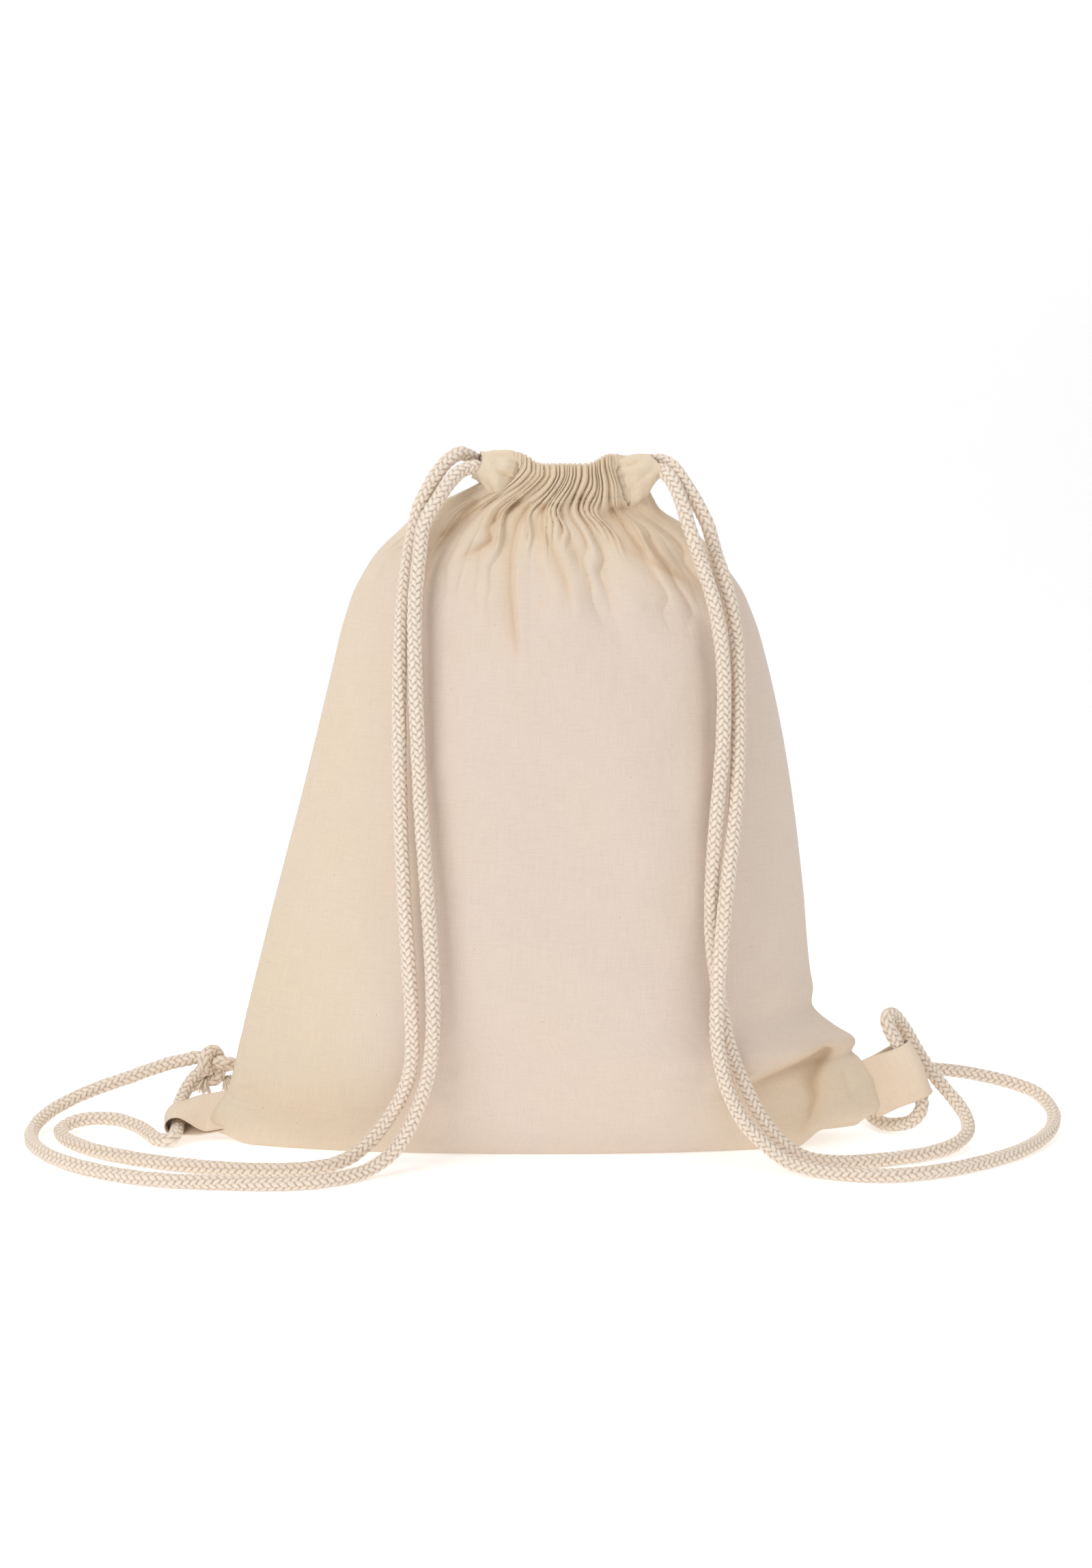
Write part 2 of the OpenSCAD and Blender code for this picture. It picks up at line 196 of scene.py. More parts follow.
def make_mesh(name, points, faces, uv=None, attributes=None):
    """A smooth-shaded object from points in millimetres and a list of index arrays, one per face size."""
    mesh = bpy.data.meshes.new(name)
    mesh.vertices.add(len(points))
    mesh.vertices.foreach_set("co", (np.asarray(points) * MM).astype(np.float32).ravel())
    loops = np.concatenate([f.ravel() for f in faces]).astype(np.int32)
    sizes = np.concatenate([np.full(len(f), f.shape[1]) for f in faces])
    mesh.loops.add(len(loops))
    mesh.loops.foreach_set("vertex_index", loops)
    mesh.polygons.add(len(sizes))
    mesh.polygons.foreach_set("loop_start", (np.cumsum(sizes) - sizes).astype(np.int32))
    mesh.update(calc_edges=True)
    mesh.polygons.foreach_set("use_smooth", np.ones(len(sizes), bool))
    if uv is not None:
        layer = mesh.uv_layers.new(name="cloth")
        layer.data.foreach_set("uv", np.asarray(uv, np.float32)[loops].ravel())
    for key, values in (attributes or {}).items():
        attribute = mesh.attributes.new(key, "FLOAT", "POINT")
        attribute.data.foreach_set("value", np.asarray(values, np.float32).ravel())
    obj = bpy.data.objects.new(name, mesh)
    bpy.context.scene.collection.objects.link(obj)
    return obj


def grid_faces(rows, cols, offset=0, wrap=False):
    i, j = np.meshgrid(np.arange(rows - 1), np.arange(cols if wrap else cols - 1), indexing="ij")
    i, j = i.ravel(), j.ravel()
    k = (j + 1) % cols
    return offset + np.stack([i * cols + j, i * cols + k, (i + 1) * cols + k, (i + 1) * cols + j], 1)


def grid_normals(grid):
    across = np.gradient(grid, axis=1)
    along = np.gradient(grid, axis=0)
    n = np.cross(across, along)
    return n / np.maximum(np.linalg.norm(n, axis=2), 1e-9)[:, :, None]


def sheet(name, grid, thickness, uv, attributes=None):
    """A closed sheet: a grid of points, and the same grid moved in by its thickness."""
    rows, cols = grid.shape[:2]
    inner = grid - thickness * grid_normals(grid)
    n = rows * cols
    skin = grid_faces(rows, cols)
    lining = grid_faces(rows, cols, n)[:, ::-1]
    at = np.arange(n).reshape(rows, cols)
    rims = []
    for line, forward in ((at[-1], True), (at[:, 0], True), (at[0], False), (at[:, -1], False)):
        quad = np.stack([line[:-1], line[1:], line[1:] + n, line[:-1] + n], 1)
        rims.append(quad if forward else quad[:, ::-1])
    points = np.concatenate([grid.reshape(-1, 3), inner.reshape(-1, 3)])
    uv = uv.reshape(-1, 2)
    both = {k: np.concatenate([v.ravel(), v.ravel()]) for k, v in (attributes or {}).items()}
    return make_mesh(name, points, [np.concatenate([skin, lining] + rims)], np.concatenate([uv, uv]), both)


def unit(v):
    return v / np.maximum(np.linalg.norm(v, axis=-1, keepdims=True), 1e-12)


def spline(points, n):
    """A smooth curve through points, with n steps from each to the next."""
    p = np.asarray(points, float)
    p = np.concatenate([[2 * p[0] - p[1]], p, [2 * p[-1] - p[-2]]])
    out = []
    for i in range(1, len(p) - 2):
        a, b, c, d = p[i - 1:i + 3]
        t = np.linspace(0, 1, n, endpoint=False)[:, None]
        out.append(0.5 * (2 * b + (c - a) * t + (2 * a - 5 * b + 4 * c - d) * t ** 2
                          + (3 * b - a - 3 * c + d) * t ** 3))
    return np.concatenate(out + [p[-2:-1]])


def evenly(path, step):
    """The path resampled at an even step, and the distance along it."""
    length = np.concatenate([[0], np.cumsum(np.linalg.norm(np.diff(path, axis=0), axis=1))])
    at = np.linspace(0, length[-1], max(3, int(length[-1] / step)))
    return np.stack([np.interp(at, length, path[:, k]) for k in range(3)], 1), at


def carried_frames(path):
    """Two normals at each point, turning as little as possible along the path."""
    tangent = unit(np.gradient(path, axis=0))
    n = unit(np.cross(tangent[0], [0.3, 0.9, 0.2]))
    normals = []
    for t in tangent:
        n = unit(n - np.dot(n, t) * t)
        normals.append(n)
    normals = np.array(normals)
    return normals, np.cross(tangent, normals)


def ripples(x, y, wavelength, height, seed):
    """Gentle uneven waves, the same every time."""
    random = np.random.RandomState(seed)
    total = np.zeros(np.broadcast(x, y).shape)
    for _ in range(9):
        angle, phase = random.uniform(0, math.pi), random.uniform(0, 2 * math.pi)
        k = 2 * math.pi / (wavelength * random.uniform(0.7, 1.5))
        total = total + np.sin(k * (x * math.cos(angle) + y * math.sin(angle)) + phase)
    return height * total / 3


# ---------------------------------------------------------------- the cotton shells

COLUMNS = 330
FINE_PLEATS, MIDDLE_PLEATS, BROAD_PLEATS = 34, 12, 6
HEM_STEPS = 34           # rows from the top of the panel to the roll of the hem


def distance_to(x, z, line):
    """Distance to a line of points, signed by its side, and the share of the way along it."""
    line = np.asarray(line, float)
    lengths = np.linalg.norm(np.diff(line, axis=0), axis=1)
    before = np.concatenate([[0], np.cumsum(lengths)])
    best = np.full(x.shape, 1e9)
    side, share = np.zeros(x.shape), np.zeros(x.shape)
    for i, length in enumerate(lengths):
        d = (line[i + 1] - line[i]) / length
        t = np.clip((x - line[i, 0]) * d[0] + (z - line[i, 1]) * d[1], 0, length)
        dx, dz = x - line[i, 0] - t * d[0], z - line[i, 1] - t * d[1]
        far = np.hypot(dx, dz)
        nearer = far < best
        best = np.where(nearer, far, best)
        side = np.where(nearer, np.sign(d[0] * dz - d[1] * dx), side)
        share = np.where(nearer, (before[i] + t) / before[-1], share)
    return best * side, share


def fold(x, z, line, valley, width, rise=0.0, sharp=3.0, reach=20.0, shade_reach=9.0, run_in=0.1, start=0.25):
    """A fold along a line: a valley, and a step up on the line's left side that settles again with distance.

    The fold grows over the share `run_in` of the line, from a strength set by `start`. Gives how far the
    cloth moves out, and how much painted shade it takes in the valley and below the step.
    """
    signed, share = distance_to(x, z, line)
    taper = smoothstep(share / run_in + start) * smoothstep((1 - share) / 0.3)
    step = rise * smoothstep((signed + 0.5) / sharp) * np.exp(-np.maximum(signed, 0) / reach)
    groove = np.exp(-np.abs(signed / width) ** 1.4)
    below = -signed if rise > 0 else signed
    # Painted shade on the low side of the step, fading with distance; the return adds painted shade in the
    # valley too.
    shade = abs(rise) / 13 * smoothstep(below / 3 + 0.5) * np.exp(-np.maximum(below, 0) / shade_reach)
    return taper * (step - valley * groove), taper * (shade + 0.16 * valley * groove)


# Folds of the strap side, in the order of fold()'s arguments after x and z. A line is a row of (x, z).
FRONT_FOLDS = [
    ([(-3, 352), (-11, 339), (-14, 325), (-14, 306), (-12, 286), (-9, 262)], 1.6, 3.0, 4.6, 3.5, 24),
    ([(13, 354), (22, 348), (30, 345), (34, 338), (35, 331), (46, 325), (62, 317), (82, 306), (100, 294)],
     1.4, 3.5, -4.0, 5.5, 20, 11),
    ([(34, 348), (45, 340), (56, 330), (68, 318), (80, 304)], 1.8, 5.0),
    ([(36, 347), (47, 348), (58, 346), (72, 336)], 2.2, 3.5, 1.2, 3, 8),
    ([(-20, 356), (-31, 349), (-43, 339), (-54, 326), (-62, 312), (-68, 292)], 1.0, 4.0, 3.0, 6, 22, 6),
    ([(-8, 353), (-20, 345), (-26, 338), (-25, 331), (-32, 326), (-46, 320)], 2.8, 3.0, 1.5, 3, 8),
    ([(3, 352), (2, 338), (8, 325), (14, 312), (18, 292)], 2.8, 4.0, 1.6, 4, 12),
    ([(10, 352), (13, 336), (19, 326), (23, 312)], 2.8, 2.8),
    ([(-32, 352), (-40, 343), (-46, 337), (-60, 330)], 2.2, 3.5),
    ([(84, 32), (98, 37), (110, 41), (124, 46), (138, 50), (152, 54), (176, 62)],
     1.6, 7.0, 6.4, 7, 34, 20, 0.45, 0),
    ([(158, 58), (151, 49), (148, 39), (150, 28), (147, 16), (140, 5)], 3.0, 6.0, 1.4, 6, 14),
    ([(166, 42), (168, 33), (171, 22)], 1.0, 2.6),
    ([(-166, 34), (-150, 26), (-128, 22), (-104, 24)], 1.3, 8.0),
]
# Folds of the side that isn't seen, drawn in the same way
BACK_FOLDS = [
    ([(2, 352), (-6, 336), (-10, 318), (-9, 296), (-6, 270)], 1.8, 3.5, 4.2, 4, 22),
    ([(24, 352), (33, 338), (46, 326), (64, 314), (86, 296)], 1.8, 3.5, -4.6, 5, 20),
    ([(-14, 352), (-28, 338), (-42, 326), (-56, 310), (-66, 288)], 1.2, 4.0, 4.2, 5, 20),
    ([(14, 352), (18, 332), (22, 316), (24, 294)], 2.6, 3.5),
    ([(94, 33), (122, 42), (142, 50), (172, 60)], 2.0, 7.0, 5.0, 7, 30, 9, 0.45, 0),
    ([(-164, 40), (-146, 34), (-126, 32), (-104, 36)], 2.4, 7.0),
]


def pleats(s, count, seed):
    """Rounded ridges of uneven width across -1 to 1, with sharp valleys between: height and ridge number."""
    widths = np.random.RandomState(seed).uniform(0.45, 1.7, count)
    steps = np.concatenate([[0], np.cumsum(widths)]) / widths.sum()
    phase = np.interp((s + 1) / 2, steps, np.arange(count + 1))
    return np.abs(np.sin(math.pi * phase)) ** 0.7, np.clip(phase.astype(int), 0, count - 1)


def gathers(s, z, seed):
    """How far the pleats stand out, and how deep in a valley each point is, which sets painted shade there.
    Each ends at its own height.
    """
    random = np.random.RandomState(seed)
    sway = 0.012 * np.sin(z / 7 + 11 * s + seed) + 0.007 * np.sin(z / 3.3 + 23 * s)
    sway = sway * smoothstep((370 - z) / 16)
    fine, n = pleats(s + sway, FINE_PLEATS, seed)
    middle, m = pleats(s + 1.4 * sway, MIDDLE_PLEATS, seed + 1)
    broad, b = pleats(s, BROAD_PLEATS, seed + 2)
    sides = smoothstep((np.abs(s) - 0.58) / 0.16) * smoothstep((z - 326) / 18)
    show_fine = smoothstep((z - random.uniform(318, 350, FINE_PLEATS)[n]) / 15) * (1 - 0.92 * sides)
    show_middle = (smoothstep((z - random.uniform(268, 322, MIDDLE_PLEATS)[m]) / 40)
                   * (1 - 0.7 * smoothstep((z - 350) / 9)) * (1 - 0.75 * sides))
    show_broad = smoothstep((z - 235) / 90) * (1 - smoothstep((z - 344) / 12))
    out = (4.6 * random.uniform(0.3, 1, FINE_PLEATS)[n] * fine * show_fine - 2.0 * smoothstep((z - 334) / 14)
           + 5.0 * random.uniform(0.2, 1, MIDDLE_PLEATS)[m] * middle * show_middle
           - 1.6 * smoothstep((z - 290) / 50)
           + 2.6 * random.uniform(0.3, 1, BROAD_PLEATS)[b] * broad * show_broad
           + ripples(90 * s, z, 24, 0.7, seed + 9) * smoothstep((z - 285) / 25) * smoothstep((352 - z) / 12))
    # valley: depth in the pleat valleys, kept for painted shade in the cloth's colour
    valley = np.maximum((1 - fine) ** 2 * show_fine, 0.55 * (1 - middle) ** 3 * show_middle)
    return out, valley


def ear_rise(x):
    """How far the hem's top edge rises towards each sleeve, from its middle."""
    across = [-48, -40, -27, -20, -14, 13, 19, 25, 37, 46]
    rise = [1.0, 4.0, 6.6, 3.6, 0.0, 0.0, 4.4, 5.6, 2.8, 0.5]
    return sum(np.interp(x + k, across, rise) for k in (-3, -1, 1, 3)) / 4


def shell_rows():
    """Share of the depth and height of each row up one panel, from the bottom seam to the hem."""
    rows = [(k, 0.0) for k in np.linspace(0, 0.9, 9)]
    rows += [(0.955, 0.35), (0.985, 1.5), (0.998, 3.2)]
    rows += [(1.0, z) for z in np.arange(5.2, 80, 1.2)]
    rows += [(1.0, z) for z in np.arange(80, 283, 2.6)]
    rows += [(1.0, z) for z in np.arange(283, 341, 1.1)]
    return np.array(rows)


def bag_shell(name, facing, folds, seed):
    """One panel with its hem, from the bottom seam to the inside of the lip. facing is -1 or 1 in Y.

    Gives the object, its grid of points, and how many rows lie below the roll over the hem's top.
    """
    s = np.linspace(-1, 1, COLUMNS)
    s = np.sin(s * math.pi / 2) * 0.35 + s * 0.65
    k, z = shell_rows().T
    rise_steps, over_steps, down_steps = HEM_STEPS, 12, 9
    rise = np.linspace(0, 1, rise_steps + 1)[1:]
    share = np.concatenate([k, np.ones(rise_steps + over_steps + down_steps)])

    # Heights, row by row. The hem's top edge dips between the sleeves.
    fine, _ = pleats(s, FINE_PLEATS, seed)
    top_x = NECK_X + s * (HEM_HALF + 4)
    top = HEM_HIGH[2] - 2.6 + ear_rise(top_x - NECK_X) + 1.2 * (fine - 0.6)
    roll = (HEM_FRONT - LIP_BACK) / 2
    lower = np.repeat(z[:, None], COLUMNS, 1)
    start = z[-1]
    straight = start + rise[:, None] * (top - roll - start)[None, :]
    turn = np.linspace(0, math.pi, over_steps + 1)[1:, None]
    over = (top - roll)[None, :] + roll * np.sin(turn)
    down = np.linspace(0, 1, down_steps + 1)[1:, None]
    inside = (top - roll)[None, :] * (1 - down) + (HEM_LOW[2] + 1) * down
    height = np.concatenate([lower, straight, over, inside])

    # Widths: the outline at each height; the rolled hem keeps the width it has at its top
    outline_z = np.concatenate([lower, straight, np.repeat(straight[-1:], over_steps + down_steps, 0)])
    left, right = edges(outline_z)
    sn = np.repeat(s[None, :], len(height), 0)
    x = (right * (1 + sn) + left * (1 - sn)) / 2
    half = (right - left) / 2

    # Depth: a filled, lens-shaped bag below, a flat gathered band above
    power = 2.4 + 3.0 * smoothstep((outline_z - 325) / 30)
    full = np.maximum(0, 1 - np.abs(sn) ** power) ** 0.75
    closing = smoothstep((1 - np.abs(sn)) * half / 3)
    out = share[:, None] * ((depth_at(outline_z) - 1.6) * full + 1.2 * closing + 0.08)
    edge_fade = smoothstep((1 - np.abs(sn)) * half / 16)
    neck = smoothstep((outline_z - 338) / 14)
    gather_fade = smoothstep((1 - np.abs(sn)) * half / (16 - 9 * neck))
    move, valley = gathers(sn, outline_z, seed)
    move, valley = move * gather_fade, valley * gather_fade
    body = smoothstep(height / 14) * (1 - neck)
    waves = (ripples(x, height, 120, 1.1, seed + 5) + ripples(x, height, 45, 0.32, seed + 6)
             + ripples(x, height * 0.4, 26, 0.16, seed + 7))
    move = move + edge_fade * body * (waves - 0.7)
    folded, shade = sum(np.array(fold(x, outline_z, *each)) for each in folds)
    below_hem = 1 - smoothstep((outline_z - 352) / 6)
    folded, shade = folded * below_hem, shade * below_hem
    move = move + folded * smoothstep(height / 6) * edge_fade
    # The valley attribute carries painted shade: pleat valleys and the low side of each fold take a darker,
    # warmer colour.
    valley = np.maximum(valley, np.clip(shade, 0, 0.8))
    out = out + share[:, None] * move

    # The roll over the top of the hem, and the lip's inside
    n = len(k) + rise_steps
    outer = out[n - 1]
    calm = LIP_BACK + 0.4 * move[n - 1]
    for i in range(over_steps):
        c = (1 - math.cos(turn[i, 0])) / 2
        out[n + i] = outer * (1 - c) + calm * c
    out[n + over_steps:] = LIP_BACK + 0.4 * move[n - 1] * (1 - down)

    height = height + corner_lift(x, height)
    y = facing * (0.05 + np.maximum(out, 0.0))
    grid = np.stack([x, y, height], 2)
    run = np.concatenate([[0], np.cumsum(np.linalg.norm(np.diff(grid[:, COLUMNS // 2], axis=0), axis=1))])
    uv = np.stack([sn * 185, np.repeat(run[:, None], COLUMNS, 1)], 2)
    if facing > 0:
        grid, uv, valley = grid[:, ::-1], uv[:, ::-1], valley[:, ::-1]
    obj = sheet(name, grid, CLOTH, uv, {"valley": valley})
    return obj, grid, n


def lip_weight(points):
    """Share of a lip's turn that the cloth follows: none at the sides and low down, all at the hem."""
    x, z = points[:, 0], points[:, 2]
    left, right = edges(np.clip(z, 0, HEM_HIGH[2]))
    reach = np.abs(x - NECK_X) / np.where(x > NECK_X, right - NECK_X, NECK_X - left)
    rise = smoothstep((z - 292) / (HEM_LOW[2] - 6 - 292))
    return rise * (1 - smoothstep((reach - 0.58) / 0.40))


def follow_lip(obj):
    """Bakes the cloth's transform and works out the share of a lip's turn each point would follow; the share
    is not stored, so the cloth does not bend to the lip.
    """
    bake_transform(obj)
    points = np.array([v.co for v in obj.data.vertices]) / MM
    lip_weight(points).astype(np.float32)


def hem_sleeve(name, side):
    """The smooth end of the hem: a soft cone that narrows to the opening where the two strands come out."""
    low, high = box_mm(name)
    middle = (low + high) / 2
    way = np.array([side * math.sin(SLEEVE_LEAN), 0, math.cos(SLEEVE_LEAN)])
    up = np.array([-side * math.cos(SLEEVE_LEAN), 0, math.sin(SLEEVE_LEAN)])
    mouth = SLEEVE_LENGTH / 2 + 0.6
    around = 96
    angle = np.linspace(0, 2 * math.pi, around, endpoint=False)
    c, s = np.cos(angle), np.sin(angle)
    body = (np.abs(c) ** 2.1 + np.abs(s) ** 2.1) ** (-1 / 2.1)
    stations = np.concatenate([np.linspace(-17, mouth, 36), np.full(3, mouth),
                               np.linspace(mouth - 0.6, -8, 14)])
    inward = np.concatenate([np.zeros(36), [0.3, 0.7, 0.9], np.full(14, 1.0)])
    rings, uv, valley = [], [], []
    for t, shrink in zip(stations, inward):
        inner = smoothstep((mouth - t) / 21)
        tuck = smoothstep((-5 - t) / 11)
        rounded = 1 - 0.18 * smoothstep((t - mouth + 8) / 8) ** 2
        wide = (13.0 + 1.0 * inner) * rounded - 5.5 * tuck - shrink
        tall = np.where(s > 0, 8.8 - side * 0.9 + 3.0 * inner, 7.6 + 11.0 * inner)
        tall = tall * rounded - shrink
        flare = 0.7 * math.exp(-((t - mouth) / 2.6) ** 2)
        pleat = 1 - 2 * np.abs(np.sin(3.5 * angle + 0.05 * t + 0.9 * side)) ** 0.7
        wrinkle = (1 - tuck) * (-2.0 * inner * pleat + 0.7 * inner * np.sin(11 * angle - 0.2 * t)
                                + 0.6 * np.sin(3 * angle + 0.21 * t + 2 * side)
                                + 0.35 * np.sin(5 * angle + 0.5 * t))
        grow = body * (1 + (wrinkle + flare) / 14)
        centre = middle + way * (t + 1.3 * np.sin(2 * angle + side)[:, None] * (t > mouth - 1)) + up * 1.0
        rings.append(centre + np.outer(c * wide * grow - 0.8, [0, 1, 0]) + np.outer(s * tall * grow, up))
        uv.append(np.stack([angle * 12 + 300 * side, np.full(around, t + 8 * shrink)], 1))
        # Painted shade in the sleeve's wrinkle valleys
        valley.append(np.clip(-wrinkle / 3, 0, 1) * inner)
    # The lining's last ring joins the outside's first, which closes the cone
    faces = grid_faces(len(rings) + 1, around, wrap=True) % (len(rings) * around)
    return make_mesh(name + "_cloth", np.concatenate(rings), [faces[:, ::side]], np.concatenate(uv),
                     {"valley": np.concatenate(valley)})


# ---------------------------------------------------------------- braided cord

BRAID_COLUMNS = 8
BRAID_PITCH = 4.0
LOBE_LENGTH, LOBE_WIDTH = 2.7, 1.4
LOBE_LEAN = math.radians(38)


def braid_height(along, around_mm, girth):
    """Height of the braid, 0 in a groove to 1 on a yarn, with the place on the uppermost yarn."""
    best = np.full(along.shape, -1.0)
    lengthwise, sideways = np.zeros(along.shape), np.zeros(along.shape)
    column_width = girth / BRAID_COLUMNS
    column = np.round(around_mm / column_width).astype(int)
    for dc in (-1, 0, 1):
        c = column + dc
        shift = (c % 2) * BRAID_PITCH / 2
        row = np.round((along - shift) / BRAID_PITCH)
        lean = np.where(c % 2 == 0, 1.0, -1.0) * LOBE_LEAN
        for dr in (-1, 0, 1):
            dx = around_mm - c * column_width
            dy = along - shift - (row + dr) * BRAID_PITCH
            p = dy * np.cos(lean) + dx * np.sin(lean)
            q = -dy * np.sin(lean) + dx * np.cos(lean)
            h = 1 - (p / LOBE_LENGTH) ** 2 - (q / LOBE_WIDTH) ** 2 + 0.10 * p / LOBE_LENGTH
            taller = h > best
            best = np.where(taller, h, best)
            lengthwise = np.where(taller, p, lengthwise)
            sideways = np.where(taller, q, sideways)
    return np.sqrt(np.clip(best, 0, 1)), lengthwise, sideways


def braided(name, path, radius=CORD_R, step=0.42, around=44, seed=1, twist=0.012):
    """A closed braided cord along a path."""
    path, at = evenly(path, step)
    for _ in range(3):
        path[1:-1] = (path[:-2] + 2 * path[1:-1] + path[2:]) / 4
    normal, side = carried_frames(path)
    angle = np.linspace(0, 2 * math.pi, around, endpoint=False)
    turn = twist * at + 0.35 * np.sin(at / 31 + seed)
    girth = 2 * math.pi * radius
    s, a = np.meshgrid(at, angle, indexing="ij")
    unrolled = ((a + turn[:, None]) * radius) % girth
    high, p, q = braid_height(s + 17.3 * seed, unrolled, girth)
    r = radius * (1.045 - 0.22 * (1 - high)) + ripples(s, unrolled, 16, 0.10, seed)
    r = r + 0.05 * np.cos(q * 2 * math.pi / 0.75)
    first = np.minimum(s, s[-1, 0] - s)
    r = r * np.sqrt(np.clip(first / 1.6, 0.0025, 1))
    points = path[:, None] + r[:, :, None] * (np.cos(a)[:, :, None] * normal[:, None]
                                              + np.sin(a)[:, :, None] * side[:, None])
    n = len(at)
    faces = grid_faces(n, around, wrap=True)
    ring = np.arange(around)
    ends = np.stack([ring[::-1], ring + (n - 1) * around])
    uv = np.stack([p.ravel() + 9 * seed, q.ravel() + s.ravel() * 0.02], 1)
    # The groove attribute sets painted shade between the lobes in the material.
    return make_mesh(name, points.reshape(-1, 3), [faces, ends], uv, {"groove": 1 - high.ravel()})


def thread_of(name, pieces, radius, sides=6):
    """Many short round threads as one mesh. Each piece is a line of points."""
    points, faces, caps, base = [], [], [], 0
    angle = np.linspace(0, 2 * math.pi, sides, endpoint=False)
    for line in pieces:
        line = np.asarray(line, float)
        normal, side = carried_frames(line)
        taper = np.full(len(line), radius)
        taper[[0, -1]] = radius * 0.45
        ring = (line[:, None] + taper[:, None, None] * (np.cos(angle)[None, :, None] * normal[:, None]
                                                        + np.sin(angle)[None, :, None] * side[:, None]))
        points.append(ring.reshape(-1, 3))
        faces.append(grid_faces(len(line), sides, base, wrap=True))
        k = np.arange(sides)
        caps.append(np.stack([base + k[::-1], base + (len(line) - 1) * sides + k]))
        base += len(line) * sides
    points = np.concatenate(points)
    return make_mesh(name, points, [np.concatenate(faces), np.concatenate(caps)], points[:, [0, 2]],
                     {"groove": np.zeros(len(points)), "valley": np.zeros(len(points))})


def knot_path(centre, size, tilt):
    """The turns of an overhand knot."""
    t = np.linspace(0, 2 * math.pi, 90)
    p = np.stack([np.sin(t) + 2 * np.sin(2 * t), np.cos(t) - 2 * np.cos(2 * t), -1.15 * np.sin(3 * t)], 1)
    a, b = tilt
    p = p @ np.array([[1, 0, 0], [0, math.cos(a), -math.sin(a)], [0, math.sin(a), math.cos(a)]])
    p = p @ np.array([[math.cos(b), 0, math.sin(b)], [0, 1, 0], [-math.sin(b), 0, math.cos(b)]])
    return centre + size * p


def frayed_end(root, way, spread, seed):
    """Loose yarns that fan out of a cut cord."""
    random = np.random.RandomState(seed)
    way = unit(np.array(way, float))
    across = unit(np.cross(way, [0.2, 0.5, 0.9]))
    other = np.cross(way, across)
    lines = []
    for _ in range(64):
        angle, r = random.uniform(0, 2 * math.pi), math.sqrt(random.uniform(0, 1))
        start = np.array(root) + 2.7 * r * (math.cos(angle) * across + math.sin(angle) * other)
        length = random.uniform(5.0, 8.5)
        lean = spread * r * (math.cos(angle) * across + math.sin(angle) * other) + random.normal(0, 0.10, 3)
        t = np.linspace(0, 1, 6)[:, None]
        lines.append(start + way * length * t + lean * length * t ** 2)
    return lines


# ---------------------------------------------------------------- tabs

def tab(name, seat, out, along, seam, width, length):
    """A folded tape loop. It starts flat along the corner seam and turns as it folds round its cord."""
    out = unit(np.array(out, float))
    along, seam = (unit(np.array(v, float) - np.dot(v, out) * out) for v in (along, seam))
    eye = 5.3
    angle = np.linspace(-1, 1, 61) * math.pi / 2 * 1.08
    # Outline of the loop: two layers from the seam, opening round the cord and meeting at the fold
    straight = np.linspace(-10, length - eye - 1.5, 22)
    reach = np.concatenate([straight, length - eye + (eye - 0.2) * np.cos(angle), straight[::-1]])
    sign = np.concatenate([-np.ones(22), np.sin(angle), np.ones(22)])
    rise = smoothstep((reach + 2) / (length - eye)) * eye
    lift = sign * np.maximum(0.75, np.where(np.abs(sign) < 1, eye, rise))
    turned = smoothstep((reach - 1) / (length - 7))[:, None]
    across = unit((1 - turned) * seam + turned * along)
    normal = np.cross(across, out)
    steps = 34
    rows = []
    for w in np.linspace(-0.5, 0.5, steps):
        sway = 0.8 * math.sin(2.2 * w + 1) * smoothstep(reach / length)
        pinch = 1 - 0.12 * abs(2 * w) ** 3
        rows.append(seat + np.outer(reach * (1 + 0.03 * math.sin(5 * w + 1)), out)
                    + (lift * pinch + sway)[:, None] * normal + width * w * across)
    grid = np.array(rows).transpose(1, 0, 2)
    run = np.concatenate([[0], np.cumsum(np.hypot(np.diff(reach), np.diff(lift)))])
    uv = np.stack(np.meshgrid(run, np.linspace(0, width, steps), indexing="ij"), 2)
    obj = sheet(name, grid, TAPE * 0.5, uv, {"valley": np.zeros(grid.shape[:2])})
    return obj, grid


# ---------------------------------------------------------------- materials

class Nodes:
    """Short calls that build a material's node tree."""

    def __init__(self, name):
        self.material = bpy.data.materials.new(name)
        self.material.use_nodes = True
        self.tree = self.material.node_tree
        self.shader = self.tree.nodes["Principled BSDF"]

    def add(self, kind, inputs=None, **settings):
        node = self.tree.nodes.new(kind)
        for key, value in settings.items():
            setattr(node, key, value)
        for key, value in (inputs or {}).items():
            self.put(node.inputs[key], value)
        return node

    def put(self, socket, value):
        if isinstance(value, bpy.types.NodeSocket):
            self.tree.links.new(value, socket)
        else:
            socket.default_value = value

    def maths(self, operation, a, b=0.0, c=0.0):
        node = self.add("ShaderNodeMath", operation=operation)
        for socket, value in zip(node.inputs, (a, b, c)):
            self.put(socket, value)
        return node.outputs[0]

    def noise(self, vector, scale, detail=2.0, rough=0.5):
        return self.add("ShaderNodeTexNoise", {"Vector": vector, "Scale": scale, "Detail": detail,
                                               "Roughness": rough}).outputs["Fac"]

    def stretch(self, vector, scale):
        return self.add("ShaderNodeMapping", {"Vector": vector, "Scale": scale}).outputs[0]

    def mix(self, share, a, b, blend="MIX"):
        node = self.add("ShaderNodeMix", data_type="RGBA", blend_type=blend)
        self.put(node.inputs[0], share)
        self.put(node.inputs[6], a)
        self.put(node.inputs[7], b)
        return node.outputs[2]

    def spread(self, value, low, high, out_low=0.0, out_high=1.0):
        node = self.add("ShaderNodeMapRange", {"From Min": low, "From Max": high, "To Min": out_low,
                                               "To Max": out_high})
        self.put(node.inputs["Value"], value)
        return node.outputs[0]


def srgb(r, g, b):
    """Linear colour of a screen colour given as 0 to 255."""
    def linear(c):
        c /= 255
        return c / 12.92 if c <= 0.04045 else ((c + 0.055) / 1.055) ** 2.4
    return (linear(r), linear(g), linear(b), 1.0)


